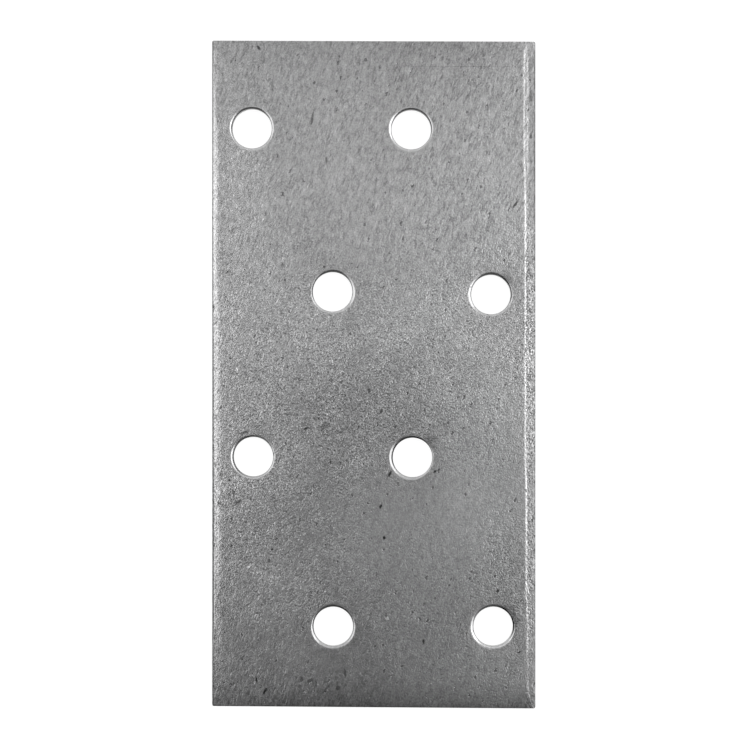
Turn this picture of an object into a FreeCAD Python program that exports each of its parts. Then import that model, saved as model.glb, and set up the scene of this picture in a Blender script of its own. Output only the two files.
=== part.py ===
import FreeCAD, Part
import math
import os

# A mending plate: flat steel cut from strip, punched with staggered nail holes
# and dipped in zinc. It lies on its back with its underside at z = 0, its long
# side along Y, and the face that the cutting edges struck looks up.

# The blank, in millimetres. Both ends were cut a little out of square, so each
# stands lower at the plate's right side than at its left
plate_width = 40.0
plate_length = 82.64
plate_thickness = 2.0
corner_radius = 0.2
top_skew = 0.13
bottom_skew = 0.3

# A sheared edge, from below: the torn zone leans in towards the underside, the
# burnished land stands upright, and the struck face rolls over down to the land
torn_height = 0.85
torn_lean = 0.08
lower_arris = 0.06
nose_radius = 0.22

# How far the struck face rolls over at each edge: the width of the roll-over,
# how deep it drops, and the radius of the shoulder where it leaves the face
left_roll_width = 0.95
left_roll_drop = 0.2
left_shoulder = 4.0
top_roll_width = 0.35
top_roll_drop = 0.06
top_shoulder = 0.8
bottom_roll_width = 2.2
bottom_roll_drop = 0.07
bottom_shoulder = 20.0

# The right edge has a pressed band: a short step down from the face, then a band
# that falls gently to the nose
right_band_width = 1.15
right_band_drop = 0.03
right_step_run = 0.2
right_step_depth = 0.045
right_shoulder = 0.4
right_crease = 0.3

# The nail holes: two staggered rows are punched from each end of the plate
hole_diameter = 4.9
hole_roll_width = 0.42
hole_roll_drop = 0.17
hole_shoulder = 0.5
hole_nose = 0.14
holes_per_row = 2
left_margin = 5.0
right_margin = 5.4
top_margin = 10.95
top_row_pitch = 20.3
bottom_margin = 10.15
bottom_row_pitch = 20.95

# How far each stroke of the punch landed from its place in the rows, from the top
# left: to the right, then upwards
punch_drift = [
    (-0.07, 0.06),
    (-0.1, -0.06),
    (0.03, 0.17),
    (-0.1, -0.17),
    (0.1, 0.05),
    (0.06, -0.05),
    (0.12, 0.0),
    (0.18, 0.0),
]

# How far a tool runs past the metal that it cuts, and how near two arcs touch
overrun = 1.0
touching = 1e-7


def closed_wire(corners, place):
    """A closed wire through the corners, each rounded by an arc of its own radius."""
    count = len(corners)
    starts = []
    middles = []
    ends = []
    for index, (corner, radius) in enumerate(corners):
        corner = place(*corner)
        back = (place(*corners[index - 1][0]) - corner).normalize()
        ahead = (place(*corners[(index + 1) % count][0]) - corner).normalize()
        half_angle = back.getAngle(ahead) / 2
        bisector = (back + ahead).normalize()
        starts.append(corner + back * (radius / math.tan(half_angle)))
        ends.append(corner + ahead * (radius / math.tan(half_angle)))
        middles.append(corner + bisector * (radius / math.sin(half_angle) - radius))
    edges = []
    for index, (corner, radius) in enumerate(corners):
        if radius:
            edges.append(Part.Arc(starts[index], middles[index], ends[index]).toShape())
        next_start = starts[(index + 1) % count]
        if not ends[index].isEqual(next_start, touching):
            edges.append(Part.makeLine(ends[index], next_start))
    return Part.Wire(edges)


def sheared_edge(roll_width, roll_drop, shoulder, nose):
    """The corners of a sheared edge from its torn zone up to the struck face.

    Each is (distance outwards from the burnished land, height), then a radius.
    """
    return [
        ((0.0, torn_height), 0.0),
        ((0.0, plate_thickness - roll_drop), nose),
        ((-roll_width, plate_thickness), shoulder),
    ]


def banded_edge():
    """The corners of the right edge, where a step parts the pressed band from the face."""
    band_top = plate_thickness - right_step_depth
    return [
        ((0.0, torn_height), 0.0),
        ((0.0, band_top - right_band_drop), nose_radius),
        ((-right_band_width, band_top), right_crease),
        ((-right_band_width - right_step_run, plate_thickness), right_shoulder),
    ]


def half_section(span, edge):
    """The corners of one side of a section through the plate, from its foot up."""
    foot = ((-torn_lean, 0.0), lower_arris)
    return [((span / 2 + out, z), radius) for (out, z), radius in [foot] + edge]


def across_solid():
    """The section across the plate, carried along it past both ends."""
    left_edge = sheared_edge(left_roll_width, left_roll_drop, left_shoulder, nose_radius)
    corners = half_section(plate_width, banded_edge())
    left_side = half_section(plate_width, left_edge)
    corners += [((-x, z), radius) for (x, z), radius in reversed(left_side)]
    start_y = -plate_length / 2 - overrun
    wire = closed_wire(corners, lambda x, z: FreeCAD.Vector(x, start_y, z))
    return Part.Face(wire).extrude(FreeCAD.Vector(0, plate_length + 2 * overrun, 0))


def end_solid(edge, side, left_drop, skew):
    """The section of one end, carried along its own slanting cut across the plate.

    side is 1 for the top end and -1 for the bottom one. The cut stands left_drop
    in from the plate's full length at its left, and falls by skew from there.
    """
    far = -plate_length / 2 - overrun
    corners = half_section(plate_length, edge)
    corners += [((far, plate_thickness), 0.0), ((far, 0.0), 0.0)]
    fall = skew / plate_width
    start_x = -plate_width / 2 - overrun
    shift = left_drop + fall * overrun
    wire = closed_wire(corners, lambda y, z: FreeCAD.Vector(start_x, side * y + shift, z))
    reach = plate_width + 2 * overrun
    return Part.Face(wire).extrude(FreeCAD.Vector(reach, -fall * reach, 0))


def plan_solid():
    """The plate's outline, with its slanting ends and rounded corners, as a prism."""
    half_width = plate_width / 2
    half_length = plate_length / 2
    corners = [
        ((-half_width, -half_length + bottom_skew), corner_radius),
        ((half_width, -half_length), corner_radius),
        ((half_width, half_length - top_skew), corner_radius),
        ((-half_width, half_length), corner_radius),
    ]
    plan = closed_wire(corners, lambda x, y: FreeCAD.Vector(x, y, -overrun))
    return Part.Face(plan).extrude(FreeCAD.Vector(0, 0, plate_thickness + 2 * overrun))


def blank():
    """The bare plate: where its plan and its sheared sections meet."""
    top_edge = sheared_edge(top_roll_width, top_roll_drop, top_shoulder, nose_radius)
    bottom_edge = sheared_edge(bottom_roll_width, bottom_roll_drop, bottom_shoulder, nose_radius)
    top_end = end_solid(top_edge, 1, 0.0, top_skew)
    bottom_end = end_solid(bottom_edge, -1, bottom_skew, bottom_skew)
    return across_solid().common(top_end).common(bottom_end).common(plan_solid())


def hole_tool():
    """What one punch stroke takes out, turned about the hole's own axis."""
    radius = hole_diameter / 2
    edge = sheared_edge(hole_roll_width, hole_roll_drop, hole_shoulder, hole_nose)
    roll_slope = math.atan2(hole_roll_drop, hole_roll_width)
    rim = radius + hole_roll_width + hole_shoulder * math.tan(roll_slope / 2)
    lean_per_height = torn_lean / torn_height
    foot = radius + lean_per_height * (torn_height + overrun)
    top = plate_thickness + overrun
    corners = [((0.0, -overrun), 0.0), ((foot, -overrun), 0.0)]
    corners += [((radius - out, z), rounding) for (out, z), rounding in edge]
    corners += [((rim, plate_thickness), 0.0), ((rim, top), 0.0), ((0.0, top), 0.0)]
    profile = closed_wire(corners, lambda r, z: FreeCAD.Vector(r, 0, z))
    axis_point = FreeCAD.Vector(0, 0, 0)
    return Part.Face(profile).revolve(axis_point, FreeCAD.Vector(0, 0, 1), 360)


def hole_centres():
    """The centres row by row from the top, each row half a pitch beside the last."""
    stagger = (plate_width - left_margin - right_margin) / (2 * holes_per_row - 1)
    first_x = left_margin - plate_width / 2
    top_y = plate_length / 2 - top_margin
    bottom_y = bottom_margin - plate_length / 2
    rows = [top_y, top_y - top_row_pitch, bottom_y + bottom_row_pitch, bottom_y]
    centres = []
    for row, y in enumerate(rows):
        row_shift = stagger * (row % 2)
        for column in range(holes_per_row):
            x = first_x + row_shift + 2 * stagger * column
            drift_x, drift_y = punch_drift[row * holes_per_row + column]
            centres.append(FreeCAD.Vector(x + drift_x, y + drift_y, 0))
    return centres


plate = blank()
for centre in hole_centres():
    tool = hole_tool()
    tool.translate(centre)
    plate = plate.cut(tool)

os.makedirs("parts", exist_ok=True)
plate.exportStep("parts/plate.step")
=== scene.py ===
import math

import bmesh
import bpy
import numpy as np
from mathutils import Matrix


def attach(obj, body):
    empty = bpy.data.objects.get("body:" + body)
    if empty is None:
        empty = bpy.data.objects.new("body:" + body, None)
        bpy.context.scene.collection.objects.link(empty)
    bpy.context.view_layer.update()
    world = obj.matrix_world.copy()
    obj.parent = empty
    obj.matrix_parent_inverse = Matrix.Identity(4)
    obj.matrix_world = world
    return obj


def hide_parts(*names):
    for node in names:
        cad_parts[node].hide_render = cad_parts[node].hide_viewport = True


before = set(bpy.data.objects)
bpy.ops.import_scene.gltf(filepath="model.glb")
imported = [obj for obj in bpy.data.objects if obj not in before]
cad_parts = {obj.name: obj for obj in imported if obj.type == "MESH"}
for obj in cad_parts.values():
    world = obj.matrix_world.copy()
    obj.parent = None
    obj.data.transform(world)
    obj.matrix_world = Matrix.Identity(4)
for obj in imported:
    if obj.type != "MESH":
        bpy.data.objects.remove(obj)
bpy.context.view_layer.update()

scene = bpy.context.scene

# The plate
# A flat mending plate of zinc-coated steel strip. Its edges are sheared and its
# eight nail holes punched from the face that looks up, so that face rolls over at
# every cut, and below it come a burnished land and a torn zone that leans inwards.

# The blank, in millimetres, with its two ends cut a little out of square
half_width = 20.0
half_length = 41.32
corner_radius = 0.22
top_skew = 0.13
bottom_skew = 0.3
face_level = 1.986
per_metre = 1000.0

# The face is not quite flat: a slow wave and a quicker ripple, each with its height
# and its lengths across and along the plate for one radian, and where the wave starts
wave_height = 0.008
wave_across = 3.1
wave_along = 4.3
wave_start_across = 0.6
wave_start_along = 1.1
ripple_height = 0.005
ripple_across = 1.7
ripple_along = 2.9

# The cut below the roll-over: the land gives way to the torn zone at a line that
# wavers, and the torn zone leans in, bulges a little and is ragged
torn_height = 0.85
torn_lean = 0.08
torn_bulge = 0.012
torn_ragged = 0.012
ragged_wave = 1.9
tear_waver = 0.13
tear_wave = 6.0
arris = 0.05

# The roll-overs, each as width, drop and softness of the shoulder, then the nose:
# its radius, and the slopes in degrees at which it begins and meets the cut
left_roll = (0.6, 0.097, 0.15, 0.45, 22.0, 40.0)
top_roll = (1.6, 0.045, 0.4, 0.12, 20.0, 55.0)
bottom_roll = (2.0, 0.12, 0.5, 0.12, 0.0, 38.0)

# The pressed band along the right edge starts at a small step down from the face,
# and near the top there is a second, fainter step. The right roll-over has no width
# of its own, as it begins a little outside the step
right_roll = (0.025, 0.1, 0.8, 23.0, 40.0)
step_depth = 0.042
step_width = 0.042
step_place = 1.25
roll_past_step = 0.1
second_step_depth = 0.033
second_step_place = 0.98

# How the long edges change along the plate. A change comes in between two places on
# it and ends as an amount, and a wavering has a seed, its longest wave and an amount.
# The amounts are shares of the usual size, and millimetres for the step's place
left_width_changes = [(14.0, 0.0, 0.5), (28.0, 34.0, -0.45), (-6.0, -14.0, 0.15)]
left_width_waver = [(3, 9.0, 0.1)]
left_drop_changes = [
    (24.0, 30.0, 0.3),
    (-2.0, -14.0, -0.15),
    (-21.0, -28.0, -0.5),
    (-32.5, -35.0, -0.3),
]
left_drop_waver = [(4, 5.0, 0.12), (8, 1.6, 0.25)]
left_corner_change = [(39.8, 40.4, -0.8)]
left_nose_changes = [
    (39.0, 40.2, 0.6),
    (16.0, 2.0, 0.6),
    (0.0, -16.0, 0.6),
    (-30.0, -35.0, -1.9),
]
right_drop_waver = [(6, 4.0, 0.3)]
step_place_changes = [
    (38.8, 41.2, -0.28),
    (-38.9, -41.0, -0.45),
    (22.0, 27.0, 0.14),
    (-9.0, -16.0, -0.13),
    (-26.0, -31.0, -0.14),
]
step_place_waver = [(5, 8.0, 0.012)]
step_depth_waver = [(7, 3.0, 0.2)]
step_depth_changes = [(22.0, 27.0, 0.12), (-23.0, -28.0, -0.2)]
step_corner_change = [(-32.0, -36.0, -0.45)]
step_width_changes = [(22.0, 27.0, 0.5), (-20.0, -27.0, 0.5)]
second_step_starts = (22.0, 27.0)
second_step_ends = (40.5, 38.5)

# Where the left roll-over was knocked flat: its place, its reach and how much it lost
flat_place = 37.4
flat_reach = 0.8
flat_loss = 0.8

# The nail holes, with the roll-over that they share
hole_radius = 2.45
hole_roll_width = 0.26
hole_roll_drop = 0.084
hole_softness = 0.016
hole_nose_radius = 0.24
hole_crease = 0.0
hole_exit_slope = 34.0
three_lobed = 0.1
blunter = 0.4
dish_width = 0.4

# Each hole: centre, how much wider its roll-over is on one side and the direction of
# that side in degrees, how deep the face dishes in round it, and the direction in
# which its nose is bluntest
holes = [
    (-15.07, 30.43, 0.1, 180.0, 0.0, 120.0),
    (4.633, 30.31, 0.15, 180.0, 0.0, 75.0),
    (-5.103, 10.24, 0.2, 0.0, 0.008, 120.0),
    (14.5, 9.9, 0.2, 160.0, 0.028, 60.0),
    (-14.9, -10.17, 0.3, 200.0, 0.02, 160.0),
    (4.793, -10.27, 0.6, 185.0, 0.024, 130.0),
    (-5.013, -31.17, 0.12, 220.0, 0.02, 110.0),
    (14.78, -31.17, 0.15, 205.0, 0.03, 60.0),
]

# The mesh: cells between the holes, and a band that carries the edge
cells_x = [-18.3, -10.075, -0.225, 9.625, 18.3]
cells_y = [-39.6, -20.675, -0.1, 20.15, 39.6]
band = half_width - cells_x[-1]
steps_x = 24
steps_y = 48
corner_steps = 12
merge_distance = 2e-7
sharp_angle = math.radians(38)


def wander(along, seed, longest):
    """A smooth wavering from -1 to 1: five sines, each shorter and weaker than the last."""
    weaker = 0.75
    shorter = 1.7
    source = np.random.default_rng(seed)
    total = np.zeros_like(along)
    weight = 0.0
    for octave in range(5):
        strength = weaker**octave
        length = longest / shorter**octave * source.uniform(0.85, 1.15)
        total += strength * np.sin(2 * np.pi * along / length + source.uniform(0, 2 * np.pi))
        weight += strength
    return total / weight


def smooth(start, end, value):
    """0 at start and before, 1 from end on, and 3t squared less 2t cubed between them."""
    t = np.clip((value - start) / (end - start), 0, 1)
    return t * t * (3 - 2 * t)


def changed(usual, y, changes=(), waverings=()):
    """The usual value, plus each change as far as it has come in, plus each wavering."""
    total = np.full_like(y, usual)
    for start, end, amount in changes:
        total = total + amount * smooth(start, end, y)
    for seed, longest, amount in waverings:
        total = total + amount * wander(y, seed, longest)
    return total


def rolled(distance, width, drop, softness, nose, crease, exit_slope):
    """How far the face has dropped at a distance inside a cut.

    A straight fall of drop over width, rounded at its shoulder by the logarithm of
    1 plus an exponential, and then an arc of the nose radius, which runs from the
    crease slope to the exit slope, where it meets the cut.
    """
    fall = drop / width * softness * np.logaddexp(0, (width - distance) / softness)
    start = np.sin(np.radians(crease))
    reach = nose * (np.sin(np.radians(exit_slope)) - start)
    inside = np.clip(reach - distance, 0, reach)
    steepness = start + inside / nose
    arc = nose * (np.sqrt(1 - start**2) - np.sqrt(1 - steepness**2))
    return fall + arc


def stepped(distance, place, width, depth):
    """How far a step has dropped: its depth over 1 plus an exponential of the distance."""
    return depth / (1 + np.exp((distance - place) / width))


def hole_swell(turn, hole_x, extra, heavy):
    """How much wider than usual a hole's roll-over is in each direction round it.

    1, plus the extra times the cosine of the turn from the heavy side, plus a cosine
    that goes round three times, started by the hole's place.
    """
    lobes = three_lobed * np.cos(3 * turn + hole_x)
    return 1 + extra * np.cos(turn - math.radians(heavy)) + lobes


def hole_nose(turn, blunt):
    """A hole's nose radius: the usual one, grown by a cosine of the turn from the blunt side."""
    return hole_nose_radius * (1 + blunter * np.cos(turn - math.radians(blunt)))


def left_drop(left, y):
    """How far the face has dropped at a distance in from the left edge."""
    width, drop, softness, nose, crease, exit_slope = left_roll
    wider = changed(1.0, y, left_width_changes, left_width_waver)
    deeper = changed(1.0, y, left_drop_changes) * changed(1.0, y, waverings=left_drop_waver)
    deeper = deeper * (1 - flat_loss * np.exp(-((y - flat_place) / flat_reach) ** 2))
    deeper = deeper * changed(1.0, y, left_corner_change)
    nose = nose * changed(1.0, y, left_nose_changes)
    return rolled(left, width * wider, drop * wider * deeper, softness, nose, crease, exit_slope)


def right_drop(right, y):
    """How far the face has dropped at a distance in from the right edge: the band and its steps."""
    drop, softness, nose, crease, exit_slope = right_roll
    place = changed(step_place, y, step_place_changes, step_place_waver)
    drop = drop * changed(1.0, y, waverings=right_drop_waver)
    total = rolled(right, place - roll_past_step, drop, softness, nose, crease, exit_slope)
    depth = step_depth * changed(1.0, y, waverings=step_depth_waver)
    depth = depth * changed(1.0, y, step_depth_changes) * changed(1.0, y, step_corner_change)
    width = step_width * changed(1.0, y, step_width_changes)
    total += stepped(right, place, width, depth)
    second_depth = second_step_depth * smooth(*second_step_starts, y) * smooth(*second_step_ends, y)
    return total + stepped(right, second_step_place, width, second_depth)


def hole_drop(x, y, hole_x, hole_y, extra, heavy, dish, blunt):
    """How far the face has dropped by one hole: its roll-over, and a dish that dies away."""
    out = np.maximum(np.hypot(x - hole_x, y - hole_y) - hole_radius, 0)
    turn = np.arctan2(y - hole_y, x - hole_x)
    swell = hole_swell(turn, hole_x, extra, heavy)
    width = hole_roll_width * swell
    drop = hole_roll_drop * swell
    nose = hole_nose(turn, blunt)
    roll = rolled(out, width, drop, hole_softness, nose, hole_crease, hole_exit_slope)
    return roll + dish * np.exp(-out / dish_width)


def face_height(x, y):
    """The height of the struck face: its flat with a wave, less every roll-over, step and dish."""
    top = half_length - top_skew * (x + half_width) / (2 * half_width) - y
    bottom = y + half_length - bottom_skew * (half_width - x) / (2 * half_width)
    wave = np.sin(x / wave_across + wave_start_across) * np.sin(y / wave_along + wave_start_along)
    height = face_level + wave_height * wave
    height += ripple_height * np.sin(x / ripple_across - y / ripple_along)
    height -= left_drop(x + half_width, y) + right_drop(half_width - x, y)
    height -= rolled(top, *top_roll) + rolled(bottom, *bottom_roll)
    for hole in holes:
        height -= hole_drop(x, y, *hole)
    return height


def tear_line(along, seed, closing=1):
    """The height at which the land gives way to the torn zone, wavering round the cut.

    A power of the share of the way round is added, so that the end meets the start.
    """
    tear = torn_height + tear_waver * wander(along, seed, tear_wave)
    return tear + (tear[0] - tear[-1]) * np.linspace(0, 1, len(tear)) ** closing


def quads(first, rows, columns, closed):
    """The faces of a grid of points laid row by row, its columns joined up if closed.

    Each face goes from a point to the next in its row, and back by the row after it.
    """
    row, column = np.meshgrid(np.arange(rows - 1), np.arange(columns - (not closed)), indexing="ij")
    across = (column + 1) % columns
    low = first + row * columns
    high = low + columns
    corners = [low + column, low + across, high + across, high + column]
    return np.stack(corners, axis=-1).reshape(-1, 4)


points = []
faces = []


def lay(x, y, z, closed=False):
    """Adds one grid of points and its faces to the mesh."""
    first = sum(len(part) for part in points)
    rows, columns = x.shape
    points.append(np.stack([x, y, z], axis=-1).reshape(-1, 3))
    faces.append(quads(first, rows, columns, closed))


def divided(corners, steps):
    """Every cell side divided evenly, and the sides put end to end."""
    parts = [np.linspace(a, b, steps, endpoint=False) for a, b in zip(corners, corners[1:])]
    return np.append(np.concatenate(parts), corners[-1])


def around(xs, ys):
    """The points round a rectangle, from its low left corner and anticlockwise."""
    right = np.full(len(ys) - 1, xs[-1])
    left = np.full(len(ys) - 1, xs[0])
    low = np.full(len(xs) - 1, ys[0])
    high = np.full(len(xs) - 1, ys[-1])
    x = np.concatenate([xs[:-1], right, xs[:0:-1], left])
    y = np.concatenate([low, ys[:-1], high, ys[:0:-1]])
    return x, y


def toward(start, end, shares):
    """Rows of values that go in a straight line from the start row to the end row."""
    return start + (end - start) * shares


# Rows of points, as shares: down the nose, down the slope to it, past the shoulder,
# and then out to the cell's edge, a little bunched near the hole. Then down the
# land, down the torn zone and across the underside
nose_rows = np.array([0, 0.14, 0.28, 0.46, 0.64, 0.82, 1.0])[:, None]
slope_rows = np.array([0.3, 0.65, 1.0])[:, None]
shoulder_rows = np.array([0.96, 1.02, 1.08, 1.15, 1.25, 1.4, 1.65, 2.0])[:, None]
outer_bunching = 1.2
outer_rows = np.linspace(0, 1, 9)[1:, None] ** outer_bunching
land_rows = np.linspace(0, 1, 4)[:, None]
torn_rows = np.linspace(0, 1, 5)[1:, None]
under_rows = np.linspace(0, 1, 6)[:, None]
slope_share = 0.9
least_slope = 0.04

# Each cell is either plain or holds one hole. The points round a hole start in the
# direction of its cell's low left corner, in degrees
first_turn = 240.0
lines_x = divided(cells_x, steps_x)
lines_y = divided(cells_y, steps_y)
for row in range(4):
    for column in range(4):
        xs = lines_x[column * steps_x:(column + 1) * steps_x + 1]
        ys = lines_y[row * steps_y:(row + 1) * steps_y + 1]
        rank = 3 - row
        if (rank + column) % 2:
            x, y = np.meshgrid(xs, ys)
            lay(x, y, face_height(x, y))
            lay(x[:, ::-1], y[:, ::-1], np.zeros_like(x))
            continue

        # The face round the hole
        hole_x, hole_y, extra, heavy, dish, blunt = holes[rank * 2 + column // 2]
        edge_x, edge_y = around(xs, ys)
        turn = np.radians(first_turn + 360 / len(edge_x) * np.arange(len(edge_x)))
        nose_end = hole_nose(turn, blunt) * math.sin(math.radians(hole_exit_slope))
        shoulder = hole_roll_width * hole_swell(turn, hole_x, extra, heavy)
        shoulder = np.maximum(shoulder, nose_end + least_slope)
        slope = toward(nose_end, slope_share * shoulder, slope_rows)
        inner_reach = [nose_end * nose_rows, slope, shoulder * shoulder_rows]
        reach = hole_radius + np.concatenate(inner_reach)
        x = hole_x + reach * np.cos(turn)
        y = hole_y + reach * np.sin(turn)
        x = np.concatenate([x, toward(x[-1], edge_x, outer_rows)])
        y = np.concatenate([y, toward(y[-1], edge_y, outer_rows)])
        z = face_height(x, y)
        lay(x[::-1], y[::-1], z[::-1], closed=True)

        # The hole's wall: the upright land, the torn cone, and the arris beneath
        tear = tear_line(turn * hole_radius, rank * 4 + column)
        land_z = toward(z[0], tear, land_rows)
        torn_z = toward(tear, arris, torn_rows)
        land_r = np.full_like(land_z, hole_radius)
        torn_r = hole_radius + torn_lean * torn_rows + np.zeros_like(torn_z)
        foot_z = np.zeros((1, len(turn)))
        foot_r = np.full_like(foot_z, hole_radius + torn_lean + arris)
        wall_z = np.concatenate([land_z, torn_z, foot_z])
        wall_r = np.concatenate([land_r, torn_r, foot_r])
        wall_x = hole_x + wall_r * np.cos(turn)
        wall_y = hole_y + wall_r * np.sin(turn)
        lay(wall_x[::-1], wall_y[::-1], wall_z[::-1], closed=True)

        # The underside round the hole
        x = toward(wall_x[-1], edge_x, under_rows)
        y = toward(wall_y[-1], edge_y, under_rows)
        lay(x, y, np.zeros_like(x), closed=True)


def cut_side(inner):
    """How far along a cut, as a share of it, and how far in from it, each point stands.

    The points follow the inner side of the band, and the last few before each corner
    are drawn towards it. Within the corner's radius they go round its arc, up to an
    eighth of a turn from either side.
    """
    reach = inner[-1] - inner[0] + 2 * band
    squeeze = smooth(0, corner_steps, np.arange(corner_steps))
    along = inner - inner[0] + band
    along[:corner_steps] *= squeeze
    along[-corner_steps:] = reach - (inner[-1] - inner[-corner_steps:] + band) * squeeze[::-1]
    nearest = np.minimum(along, reach - along)
    angle = np.pi / 4 * np.clip(1 - nearest / corner_radius, 0, 1)
    rounded = corner_radius * (1 - np.sin(angle))
    moved = np.where(nearest < corner_radius, rounded, nearest)
    along = np.where(along < reach / 2, moved, reach - moved)
    return along / reach, corner_radius * (1 - np.cos(angle))


# The band round the plate: its inner side is the cells' own outline, and its outer
# side is the cut, where the points close up towards each rounded corner
inner_x, inner_y = around(lines_x, lines_y)
share_x, in_x = cut_side(lines_x)
share_y, in_y = cut_side(lines_y)
low_left = (-half_width, -half_length + bottom_skew)
low_right = (half_width, -half_length)
high_right = (half_width, half_length - top_skew)
high_left = (-half_width, half_length)
sides = [
    (low_left, low_right, share_x, in_x),
    (low_right, high_right, share_y, in_y),
    (high_right, high_left, share_x, in_x),
    (high_left, low_left, share_y, in_y),
]
cut_x = []
cut_y = []
for start, end, share, inwards in sides:
    run = np.subtract(end, start)
    into = np.array([-run[1], run[0]]) / np.hypot(*run)
    cut_x.append((start[0] + run[0] * share + into[0] * inwards)[:-1])
    cut_y.append((start[1] + run[1] * share + into[1] * inwards)[:-1])
cut_x = np.concatenate(cut_x)
cut_y = np.concatenate(cut_y)

# Its rows, in millimetres in from the cut: close over the nose, even over the
# pressed band, and wide to the cells
band_rows = np.concatenate([
    np.array([0, 0.03, 0.06, 0.1, 0.14, 0.17, 0.192, 0.199, 0.204, 0.212, 0.25]),
    np.arange(0.3, 1.45, 0.0725),
    np.array([1.5, 1.6, band]),
])[:, None] / band
x = toward(cut_x, inner_x, band_rows)
y = toward(cut_y, inner_y, band_rows)
z = face_height(x, y)
lay(x, y, z, closed=True)

# The cut: the upright land, the torn zone that leans in, and the arris beneath
tear_seed = 40
ragged_seed = 41
late_closing = 8
edge_torn_rows = np.linspace(0, 1, 6)[1:, None]
edge_under_rows = np.linspace(0, 1, 4)[:, None]
inwards_x = (inner_x - cut_x) / np.hypot(inner_x - cut_x, inner_y - cut_y)
inwards_y = (inner_y - cut_y) / np.hypot(inner_x - cut_x, inner_y - cut_y)
girth = np.concatenate([[0], np.cumsum(np.hypot(np.diff(cut_x), np.diff(cut_y)))])
tear = tear_line(girth, tear_seed, late_closing)
land_z = toward(z[0], tear, land_rows)
land_in = np.zeros_like(land_z)
torn_z = toward(tear, arris, edge_torn_rows)
middle = np.sin(np.pi * edge_torn_rows)
ragged = torn_ragged * wander(girth, ragged_seed, ragged_wave) * middle
torn_in = torn_lean * edge_torn_rows + ragged + torn_bulge * middle
foot_z = np.zeros((1, len(girth)))
foot_in = np.full_like(foot_z, torn_lean + arris)
wall_z = np.concatenate([land_z, torn_z, foot_z])
wall_in = np.concatenate([land_in, torn_in, foot_in])
x = cut_x + inwards_x * wall_in
y = cut_y + inwards_y * wall_in
lay(x[::-1], y[::-1], wall_z[::-1], closed=True)
x = toward(x[-1], inner_x, edge_under_rows)
y = toward(y[-1], inner_y, edge_under_rows)
lay(x[::-1], y[::-1], np.zeros_like(x), closed=True)

plate_mesh = bpy.data.meshes.new("mending_plate")
corners = np.concatenate(points) / per_metre
plate_mesh.from_pydata(corners.tolist(), [], np.concatenate(faces).tolist())

# Where the zinc is darker or lighter, and where its sandy grain is stronger or weaker:
# the centre of each patch, its reach across and along, and its amount. Some of the
# darker patches are painted shade, and one lighter patch is a painted highlight
dull_and_shade_patches = [
    (-0.5, -6.0, 14.0, 8.5, 0.29),
    (-6.0, -15.0, 9.0, 5.0, 0.12),
    (-15.0, -15.0, 7.0, 9.0, 0.03),
    (-8.0, -40.0, 16.0, 8.0, 0.2),
    (0.0, -33.0, 8.0, 6.0, 0.11),
    (-12.0, -18.5, 7.0, 4.0, 0.07),
    (-15.5, -18.5, 4.0, 3.0, 0.07),
    (12.0, -16.0, 4.0, 4.5, -0.12),
    (-7.0, -26.0, 8.0, 4.5, 0.14),
    (-16.0, -22.0, 4.0, 3.5, 0.08),
    (-5.0, -16.0, 3.5, 3.0, -0.08),
    (-5.0, -4.0, 6.0, 4.0, 0.08),
    (4.5, -6.5, 3.0, 2.5, 0.07),
    (17.0, -5.0, 3.0, 5.0, -0.09),
    (16.5, -26.0, 2.0, 3.0, 0.07),
    (-8.0, -34.5, 3.0, 2.0, -0.05),
    (0.0, -31.0, 30.0, 9.0, 0.05),
    (8.0, -30.0, 4.0, 6.0, 0.06),
    (17.0, -21.5, 2.0, 2.5, 0.07),
    (-10.5, -27.0, 5.0, 5.0, -0.12),
    (-4.5, -25.0, 3.5, 7.0, 0.05),
    (2.5, -19.0, 4.0, 7.0, -0.06),
    (0.0, 39.5, 19.0, 6.0, 0.07),
    (-4.0, 11.0, 8.0, 6.0, 0.06),
    (17.0, -27.0, 4.0, 7.0, 0.05),
    (4.0, 22.0, 14.0, 7.0, -0.07),
    (13.0, 30.0, 5.0, 4.0, -0.06),
    (-17.0, 18.0, 3.0, 6.0, -0.07),
    (17.0, 18.0, 3.0, 6.0, -0.06),
    (-18.0, -30.0, 4.0, 8.0, 0.06),
    # Painted shade: darker along the right edge's nose, down to its low corner
    (19.4, 31.0, 0.5, 9.0, 0.12),
    (19.4, -37.0, 0.5, 3.0, 0.04),
    (19.3, -40.8, 0.8, 0.9, 0.15),
    # Painted shade along the foot's roll-over
    (0.0, -41.4, 60.0, 0.6, 0.3),
    (-7.5, -40.2, 6.5, 1.9, 0.06),
    # Painted shade in the dishes at the upper right of the right-hand holes in the lower three rows
    (16.5, 11.8, 0.9, 0.8, 0.38),
    (6.9, -8.2, 1.0, 1.0, 0.2),
    (17.3, -30.6, 0.5, 1.5, 0.4),
    (16.3, -29.0, 1.0, 0.5, 0.32),
    # Painted shade along the right edge's nose
    (20.0, 26.0, 0.25, 14.0, 0.2),
    # Painted highlight on the left roll-over
    (-19.8, 20.0, 0.3, 9.0, -0.14),
]
sand_patches = [
    (16.0, -22.0, 3.0, 6.0, 0.4),
    (-7.0, -27.5, 8.0, 4.5, 0.38),
    (-16.5, -22.0, 3.5, 3.5, 0.3),
    (16.5, -28.0, 2.5, 3.0, 0.3),
    (2.0, -32.0, 7.0, 3.0, 0.2),
    (-16.5, -33.0, 3.0, 3.0, -0.2),
    (-6.0, -4.5, 7.0, 4.5, 0.38),
    (4.5, -7.0, 4.0, 3.0, 0.15),
    (-5.0, -14.5, 4.0, 3.5, -0.33),
    (16.5, -5.0, 3.0, 5.0, -0.38),
    (-1.0, 14.5, 7.0, 5.0, -0.24),
    (-16.5, 25.0, 4.0, 6.0, 0.28),
    (-16.5, 1.0, 3.0, 3.0, -0.2),
    (19.4, -38.0, 0.9, 5.5, -0.45),
]


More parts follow.
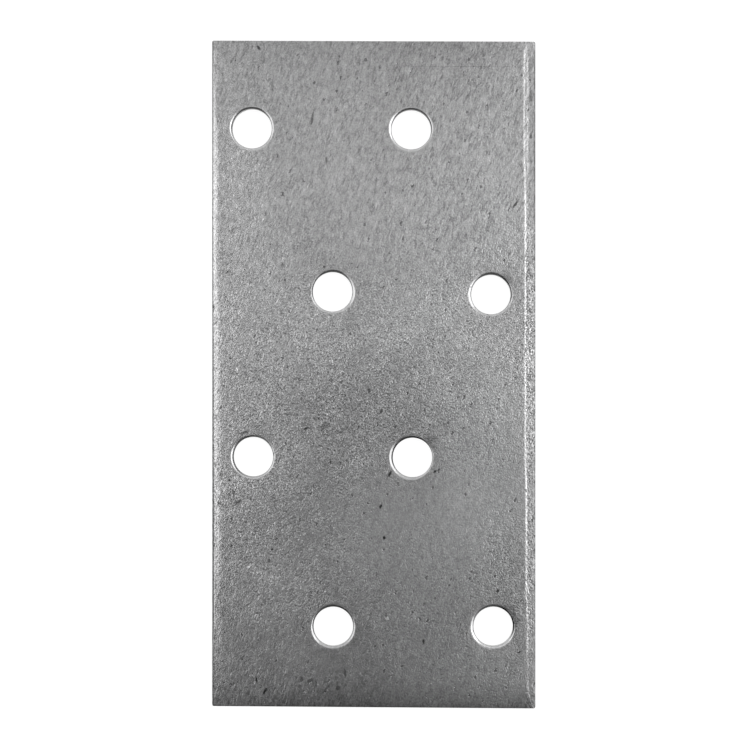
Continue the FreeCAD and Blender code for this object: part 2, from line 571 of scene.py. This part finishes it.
def bells(patches):
    """The sum of soft patches, each its amount times a bell curve over its two reaches."""
    total = np.zeros_like(x)
    for patch_x, patch_y, reach_x, reach_y, amount in patches:
        total += amount * np.exp(-((x - patch_x) / reach_x) ** 2 - ((y - patch_y) / reach_y) ** 2)
    return total


# What the finish needs to know at each point, each from smooth steps between places
# in millimetres. First, where the point lies on the wall of a cut
x, y, z = np.concatenate(points).T
from_left = x + half_width
from_right = half_width - x
on_wall = 1 - smooth(1.3, 1.6, z)

# Streaks: how far the zinc has been drawn out, at the head of the plate, more at its
# right there, below the middle, and at the foot's left side
head_streaks = 0.75
right_streaks = 0.17
low_streaks = 0.25
foot_streaks = 0.65
streaky = smooth(4.0, 20.0, y) * (head_streaks + right_streaks * smooth(-2.0, 8.0, x))
streaky = streaky + low_streaks * smooth(-12.0, -24.0, y)
streaky += foot_streaks * smooth(-36.0, -38.5, y) * smooth(4.0, -4.0, x)

# Sand: strong across the middle, less towards the head, and more along the left
# side, at the foot, on the left roll-over and on the right band
least_sand = 0.12
middle_sand = 0.8
head_loss = 0.7
left_sand = 0.22
foot_sand = 0.17
left_edge_sand = 0.2
right_band_sand = 0.5
by_left = np.exp(-((x + 18) / 6.0) ** 2) * smooth(-3.0, -11.0, y)
by_right = smooth(-6.0, 6.0, x)
upwards = smooth(-27.0 + 11 * by_right, -12.0 + 8 * by_right, y)
sandy = least_sand + upwards * (middle_sand - head_loss * smooth(2.0, 26.0, y))
sandy = sandy + left_sand * by_left + foot_sand * smooth(-14.0, -26.0, y)
sandy += left_edge_sand * smooth(1.2, 0.7, from_left)
sandy += right_band_sand * smooth(1.35, 1.1, from_right) * smooth(24.0, 16.0, y)
sandy += bells(sand_patches)

# Calm: the roll-overs are burnished, so the grain is weak there. Painted nose shade: the
# nose of a hole is painted darker on its blunt side, and so is the nose of the left edge
edge_calm = 0.12
edge_nose_shade = 0.5
hole_nose_shade = 1.25
calm = edge_calm * smooth(1.1, 0.5, from_left)
painted_nose_shade = edge_nose_shade * smooth(0.26, 0.16, from_left)
for hole_x, hole_y, extra, heavy, dish, blunt in holes:
    out = np.hypot(x - hole_x, y - hole_y) - hole_radius
    turn = np.arctan2(y - hole_y, x - hole_x)
    calm = np.maximum(calm, 1 - smooth(0.3, 0.42, out / hole_swell(turn, hole_x, extra, heavy)))
    blunt_side = smooth(-0.2, 0.6, np.cos(turn - math.radians(blunt)))
    painted_nose_shade = np.maximum(painted_nose_shade, hole_nose_shade * blunt_side * smooth(0.19, 0.13, out))
calm_streaks = -0.55
calm_sand = -0.35
streaky = streaky * (1 - calm) + calm_streaks * calm
sandy = sandy * (1 - calm) + calm_sand * calm

# Dull and painted shade, by how much darker the zinc is painted, partly as dull zinc and
# partly as painted shade at the noses and in the patches, and mottled, by how cloudy it is
usual_dull = 0.115
nose_shade_darkening = 0.5
usual_mottle = 0.26
foot_mottle = 0.22
head_mottle_loss = 0.09
dull_and_painted_shade = usual_dull * (1 - calm) + nose_shade_darkening * painted_nose_shade * (1 - on_wall) + bells(dull_and_shade_patches)
mottled = usual_mottle + foot_mottle * smooth(-29.0, -35.0, y)
mottled = mottled - head_mottle_loss * smooth(6.0, 12.0, y) * smooth(26.0, 20.0, y)

layers = {"on_wall": on_wall, "streaky": streaky, "sandy": sandy, "dull_and_painted_shade": dull_and_painted_shade, "mottled": mottled}
for name, values in layers.items():
    layer = plate_mesh.attributes.new(name, "FLOAT", "POINT")
    layer.data.foreach_set("value", values.astype(np.float32))

sewn = bmesh.new()
sewn.from_mesh(plate_mesh)
bmesh.ops.remove_doubles(sewn, verts=sewn.verts, dist=merge_distance)
bmesh.ops.recalc_face_normals(sewn, faces=sewn.faces)
sewn.to_mesh(plate_mesh)
sewn.free()
plate_mesh.shade_smooth()
plate_mesh.set_sharp_from_angle(angle=sharp_angle)
plate = bpy.data.objects.new("mending_plate", plate_mesh)
scene.collection.objects.link(plate)


def node(tree, kind, inputs=(), **settings):
    """A shader node with its settings, and its inputs given values or links by name."""
    made = tree.nodes.new("ShaderNode" + kind)
    for name, value in settings.items():
        setattr(made, name, value)
    for socket, value in dict(inputs).items():
        if isinstance(value, bpy.types.NodeSocket):
            tree.links.new(value, made.inputs[socket])
        else:
            made.inputs[socket].default_value = value
    return made


def reckon(tree, operation, first, second=0.0, third=0.0, clamp=False):
    """One step of arithmetic on node outputs or numbers."""
    values = {0: first, 1: second, 2: third}
    made = node(tree, "Math", values, operation=operation, use_clamp=clamp)
    return made.outputs[0]


def scaled(tree, value, gain, base):
    """A node output times a gain, plus a base."""
    return reckon(tree, "MULTIPLY_ADD", value, gain, base)


# The finish: a dull coat of zinc, dipped hot, on the bare metal
steel = bpy.data.materials.new("galvanised_steel")
steel.use_nodes = True
tree = steel.node_tree
tree.nodes.clear()
place = node(tree, "TexCoord").outputs["Object"]
streak_amount = node(tree, "Attribute", attribute_name="streaky").outputs["Fac"]
sand_amount = node(tree, "Attribute", attribute_name="sandy").outputs["Fac"]
wall_amount = node(tree, "Attribute", attribute_name="on_wall").outputs["Fac"]
dull_and_shade_amount = node(tree, "Attribute", attribute_name="dull_and_painted_shade").outputs["Fac"]
mottle_amount = node(tree, "Attribute", attribute_name="mottled").outputs["Fac"]


def stretched(angle, length):
    """Object coordinates that draw a pattern out along Y turned by an angle in degrees."""
    inputs = {"Vector": place, "Rotation": (0, 0, math.radians(angle)), "Scale": (1, length, 1)}
    return node(tree, "Mapping", inputs, vector_type="TEXTURE").outputs["Vector"]


def noise(vector, size, detail=2.0, roughness=0.55, distortion=0.0):
    """Noise whose cells are the given size in millimetres."""
    inputs = {"Vector": vector, "Scale": per_metre / size, "Detail": detail,
              "Roughness": roughness, "Distortion": distortion}
    return node(tree, "TexNoise", inputs).outputs["Fac"]


def centred(value, amount):
    """A noise less its mean of a half, times an amount that may be a node output."""
    return reckon(tree, "MULTIPLY", reckon(tree, "SUBTRACT", value, 0.5), amount)


# The grain of the zinc: streaks drawn along the plate, sand between them, soft
# ridges like orange peel, a mottle and cloudy stains. The sand comes in patches
streak = noise(stretched(angle=-10, length=2.7), size=0.3, detail=2.0, distortion=0.3)
peel = noise(stretched(angle=-14, length=1.5), size=0.42, detail=1.5)
sand = noise(stretched(angle=-20, length=1.35), size=0.165, detail=1.0)
mottle = noise(stretched(angle=-12, length=1.7), size=1.1, detail=3.0)
cloud = noise(stretched(angle=-10, length=1.4), size=9.0, detail=3.0)
patchy = scaled(tree, noise(stretched(angle=-20, length=1.5), size=2.6), gain=1.1, base=0.45)
streak_part = scaled(tree, streak_amount, gain=0.6, base=0.47)
sand_part = scaled(tree, sand_amount, gain=1.45, base=0.36)
sand_part = reckon(tree, "MULTIPLY", sand_part, patchy)

# Hairlines: dark strokes where the strip was drawn through the rolls
strokes = noise(stretched(angle=-22, length=4.5), size=0.24, detail=1.0)
strokes = node(tree, "MapRange", {"Value": strokes, "From Min": 0.57, "From Max": 0.67})
strokes = reckon(tree, "MULTIPLY", strokes.outputs[0], streak_amount)

# Pits, in a few of the cells of a pattern drawn out like the streaks. Each cell draws
# the size of its pit and whether it has one, and a fine noise makes the pits ragged
pit_cell = 1.0
pit_raggedness = 0.45
ragged_size = 0.25
pit_sharpness = 14.0
ragged_inputs = {"Vector": place, "Scale": per_metre / ragged_size, "Detail": 1.0}
ragged_by = node(tree, "TexNoise", ragged_inputs).outputs["Color"]
ragged_scaling = {0: ragged_by, "Scale": pit_raggedness / per_metre}
ragged_by = node(tree, "VectorMath", ragged_scaling, operation="SCALE").outputs["Vector"]
pit_place = {0: stretched(angle=-20, length=1.6), 1: ragged_by}
pit_place = node(tree, "VectorMath", pit_place, operation="ADD").outputs["Vector"]
pit_inputs = {"Vector": pit_place, "Scale": per_metre / pit_cell}
pit_cells = node(tree, "TexVoronoi", pit_inputs, voronoi_dimensions="2D")
pit_draw = node(tree, "SeparateColor", {0: pit_cells.outputs["Color"]}).outputs
pit_size = scaled(tree, pit_draw[1], gain=0.11, base=0.08)
pit_near = reckon(tree, "SUBTRACT", pit_size, pit_cells.outputs["Distance"])
pit_near = reckon(tree, "MULTIPLY", pit_near, pit_sharpness, clamp=True)
pit_near = reckon(tree, "MULTIPLY", pit_near, reckon(tree, "SUBTRACT", 1.0, wall_amount))
pit_cut = scaled(tree, sand_amount, gain=-0.17, base=1.36)
pit_cut = scaled(tree, patchy, gain=-0.55, base=pit_cut)
pits = reckon(tree, "MULTIPLY", pit_near, reckon(tree, "GREATER_THAN", pit_draw[0], pit_cut))

# The marks that stand out: centre, length, width and lie in degrees, all in
# millimetres, and how deep each is. The long faint one is a crease, and the last
# three are bright nicks
marks = [
    (-7.62, 31.64, 1.5, 0.34, 82.0, 1.1),
    (-6.23, -6.4, 1.15, 0.42, 68.0, 1.0),
    (-16.08, -7.16, 1.2, 0.27, 15.0, 1.15),
    (-16.78, -15.77, 0.85, 0.34, 38.0, 1.0),
    (1.95, -12.32, 0.9, 0.3, 61.0, 1.5),
    (6.14, -33.08, 0.65, 0.27, 82.0, 1.4),
    (-14.23, 40.39, 0.7, 0.32, 135.0, 1.35),
    (0.91, -4.53, 0.7, 0.26, 68.0, 1.15),
    (-5.87, 26.57, 0.7, 0.26, 90.0, 0.9),
    (-0.58, -1.97, 0.63, 0.32, 92.0, 1.2),
    (0.88, -16.28, 0.61, 0.31, 63.0, 1.5),
    (1.3, -20.19, 0.45, 0.37, 90.0, 1.6),
    (-8.42, -6.7, 0.8, 0.25, 23.0, 1.5),
    (15.34, -26.76, 0.42, 0.31, 45.0, 1.3),
    (-13.47, -39.17, 1.0, 0.3, 55.0, 1.5),
    (-14.5, -37.75, 0.8, 0.2, 95.0, 1.5),
    (7.57, -12.02, 0.49, 0.29, 45.0, 1.5),
    (17.5, 21.03, 1.0, 0.3, 53.0, 1.4),
    (-17.5, 38.9, 1.0, 0.3, 60.0, 0.7),
    (-8.9, -37.65, 0.6, 0.4, 90.0, 0.95),
    (-7.9, -37.85, 0.9, 0.4, 30.0, 0.85),
    (-3.56, -36.9, 1.3, 0.18, 92.0, 1.0),
    (-3.97, -40.2, 1.4, 0.9, 100.0, 0.36),
    (-4.4, -38.8, 0.6, 0.5, 60.0, 1.1),
    (-15.5, -39.1, 1.5, 0.35, 80.0, 0.4),
    (-12.2, -40.0, 1.3, 0.5, 50.0, 0.25),
    (-16.3, -35.2, 0.35, 0.3, 90.0, 0.8),
    (19.42, 34.4, 1.6, 0.32, 90.0, 0.8),
    (19.42, 29.45, 0.45, 0.3, 90.0, 1.0),
    (19.25, 37.6, 1.6, 0.25, 90.0, 0.2),
    (19.42, 26.9, 0.9, 0.28, 88.0, 0.35),
    (10.97, 38.07, 12.2, 0.11, 0.0, 0.45),
    (-15.47, -23.77, 0.85, 0.3, 60.0, -2.3),
    (1.71, -30.18, 0.45, 0.32, 108.0, -2.3),
    (-16.99, 0.63, 0.6, 0.28, 98.0, -1.8),
]

# A mark is an ellipsoid in the metal, frayed by a fine noise: full inside, and gone
# at its reach, in half lengths and half widths from its centre
mark_reach = 1.3
mark_softness = 1.6
frayed = centred(noise(stretched(angle=-14, length=1.6), size=0.22), 1.5)
edge_of_mark = reckon(tree, "ADD", frayed, mark_reach)
marked = 0.0
for mark_x, mark_y, length, width, lie, depth in marks:
    half_sizes = (length / 2 / per_metre, width / 2 / per_metre, 1 / per_metre)
    to_mark = node(tree, "Mapping", {
        "Vector": place, "Rotation": (0, 0, math.radians(lie)), "Scale": half_sizes,
        "Location": (mark_x / per_metre, mark_y / per_metre, face_level / per_metre),
    }, vector_type="TEXTURE")
    away = node(tree, "VectorMath", {0: to_mark.outputs["Vector"]}, operation="LENGTH")
    here = reckon(tree, "SUBTRACT", edge_of_mark, away.outputs["Value"])
    here = reckon(tree, "MULTIPLY", here, mark_softness, clamp=True)
    marked = reckon(tree, "MULTIPLY_ADD", here, depth, marked)

# The relief of the grain, and how light or dark each part of it makes the zinc
relief_height = 2.0e-5
pit_depth = 0.5
streak_shade = 1.1
sand_shade = 1.3
peel_shade = 0.5
cloud_shade = 0.2
darkest_grain = 0.35
relief = reckon(tree, "ADD", centred(streak, streak_part), centred(sand, sand_part))
relief = reckon(tree, "ADD", relief, centred(peel, sand_part))
relief = reckon(tree, "SUBTRACT", relief, reckon(tree, "MULTIPLY", pits, pit_depth))
bump = node(tree, "Bump", {"Strength": 1.0, "Distance": relief_height, "Height": relief})

shade = scaled(tree, centred(streak, streak_part), streak_shade, 1.0)
shade = reckon(tree, "ADD", shade, reckon(tree, "MULTIPLY", centred(sand, sand_part), sand_shade))
shade = reckon(tree, "ADD", shade, reckon(tree, "MULTIPLY", centred(peel, sand_part), peel_shade))
shade = reckon(tree, "ADD", shade, centred(mottle, mottle_amount))
shade = reckon(tree, "ADD", shade, centred(cloud, cloud_shade))
shade = reckon(tree, "MAXIMUM", shade, darkest_grain)
shade = reckon(tree, "MULTIPLY", shade, scaled(tree, strokes, gain=-0.32, base=1.04))
shade = reckon(tree, "MULTIPLY", shade, scaled(tree, pits, gain=-0.6, base=1.0))
shade = reckon(tree, "MULTIPLY", shade, scaled(tree, marked, gain=-0.55, base=1.0))
# Darker by the dull zinc and by the painted shade and highlight
shade = reckon(tree, "MULTIPLY", shade, reckon(tree, "SUBTRACT", 1.0, dull_and_shade_amount))
shade = reckon(tree, "MULTIPLY", shade, scaled(tree, wall_amount, gain=-0.3, base=1.0))

zinc_colour = (0.42, 0.42, 0.423, 1)
colour = node(tree, "MixRGB", {0: 1.0, 1: zinc_colour, 2: shade}, blend_type="MULTIPLY")
rough = scaled(tree, cloud, gain=0.05, base=0.27)
rough = reckon(tree, "ADD", rough, reckon(tree, "MULTIPLY", wall_amount, 0.15))
surface = node(tree, "BsdfPrincipled", {
    "Base Color": colour.outputs[0], "Metallic": 1.0, "Roughness": rough,
    "Normal": bump.outputs[0],
})
node(tree, "OutputMaterial", {"Surface": surface.outputs[0]})
plate_mesh.materials.append(steel)

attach(plate, "root")
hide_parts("plate")

# The floor
# A matt white studio table that the plate lies on. To the camera and in
# reflections it is the white of the background, and it keeps the plate's shadow.
# From beneath it is clear, so that the underside can be seen too.
floor_reach = 3.0
floor_level = -0.00002
matt_white = (0.8, 0.8, 0.8, 1)
shadow_grey = (0.16, 0.16, 0.16, 1)
background_strength = 0.94
floor_mesh = bpy.data.meshes.new("floor")
floor_corners = [
    (-floor_reach, -floor_reach, floor_level),
    (floor_reach, -floor_reach, floor_level),
    (floor_reach, floor_reach, floor_level),
    (-floor_reach, floor_reach, floor_level),
]
floor_mesh.from_pydata(floor_corners, [], [(0, 1, 2, 3)])
floor = bpy.data.objects.new("floor", floor_mesh)
scene.collection.objects.link(floor)
white = bpy.data.materials.new("white_table")
white.use_nodes = True
tree = white.node_tree
tree.nodes.clear()
rays = node(tree, "LightPath").outputs
seen = reckon(tree, "ADD", rays["Is Camera Ray"], rays["Is Glossy Ray"])
seen = reckon(tree, "ADD", seen, rays["Is Transmission Ray"], clamp=True)
matt = node(tree, "BsdfDiffuse", {"Color": matt_white})
shadow = node(tree, "BsdfDiffuse", {"Color": shadow_grey})
glow = node(tree, "Emission", {"Color": (1, 1, 1, 1), "Strength": background_strength})
pale = node(tree, "AddShader", {0: shadow.outputs[0], 1: glow.outputs[0]})
table_top = node(tree, "MixShader", {0: seen, 1: matt.outputs[0], 2: pale.outputs[0]})
beneath = node(tree, "NewGeometry").outputs["Backfacing"]
clear = node(tree, "BsdfTransparent")
one_sided = node(tree, "MixShader", {0: beneath, 1: table_top.outputs[0], 2: clear.outputs[0]})
node(tree, "OutputMaterial", {"Surface": one_sided.outputs[0]})
floor_mesh.materials.append(white)

# The light
# Level softboxes hang over the plate: two at each side, a long one over its upper
# half and a weak one far behind. The zenith between them is dark, as behind a camera.
lamp_height = 0.5
watts_for_radiance = math.pi


def softbox(name, left, right, near, far, radiance):
    """A level lamp that shines down, unseen by the camera, given by its outline."""
    lamp = bpy.data.lights.new(name, "AREA")
    lamp.shape = "RECTANGLE"
    lamp.size = right - left
    lamp.size_y = far - near
    lamp.energy = radiance * watts_for_radiance * (right - left) * (far - near)
    held = bpy.data.objects.new(name, lamp)
    scene.collection.objects.link(held)
    held.location = ((left + right) / 2, (near + far) / 2, lamp_height)
    held.visible_camera = False


softbox("left_softbox", -0.25, -0.12, -0.15, 0.16, 2.3)
softbox("left_outer_softbox", -0.5, -0.25, -0.2, 0.24, 2.6)
softbox("right_softbox", 0.075, 0.2, -0.11, 0.12, 1.7)
softbox("right_outer_softbox", 0.24, 0.52, -0.24, 0.26, 4.2)
softbox("top_softbox", -0.45, 0.45, 0.032, 0.11, 1.08)
softbox("far_softbox", -0.24, 0.22, 0.23, 0.33, 1.3)

# The studio's walls: pale low down and dark overhead, and the pale part reaches
# higher on the far side
world = bpy.data.worlds.new("studio")
scene.world = world
world.use_nodes = True
tree = world.node_tree
tree.nodes.clear()


def eased(value, start, end, low_value, high_value):
    """A smooth step of a node output from the low value at start to the high one at end."""
    inputs = {"Value": value, "From Min": start, "From Max": end,
              "To Min": low_value, "To Max": high_value}
    return node(tree, "MapRange", inputs, interpolation_type="SMOOTHSTEP").outputs[0]


way = node(tree, "SeparateXYZ", {0: node(tree, "TexCoord").outputs["Generated"]}).outputs
upward = reckon(tree, "SUBTRACT", way[2], eased(way[1], 0.25, 0.6, 0.0, 0.8))
mid_wall = eased(upward, 0.25, 0.66, 0.68, 0.05)
low_wall = eased(upward, 0.13, 0.3, 0.32, 0.0)
backdrop = node(tree, "Background", {
    "Color": (1, 1, 1, 1), "Strength": reckon(tree, "ADD", mid_wall, low_wall),
})
node(tree, "OutputWorld", {"Surface": backdrop.outputs[0]})

# The camera
# It looks straight down on the plate, as the plate lies unheld on its back.
camera_height = 0.35
plate_top = 0.002
aim_x = 0.00015
aim_y = -0.00006
view_width = 0.09276
sensor_width = 36.0
camera_data = bpy.data.cameras.new("camera")
camera_data.sensor_width = sensor_width
camera_data.lens = sensor_width * camera_height / view_width
camera_data.clip_start = 0.01
camera_data.clip_end = 20.0
camera = bpy.data.objects.new("camera", camera_data)
scene.collection.objects.link(camera)
camera.location = (aim_x, aim_y, plate_top + camera_height)
scene.camera = camera
scene.view_settings.view_transform = "Standard"
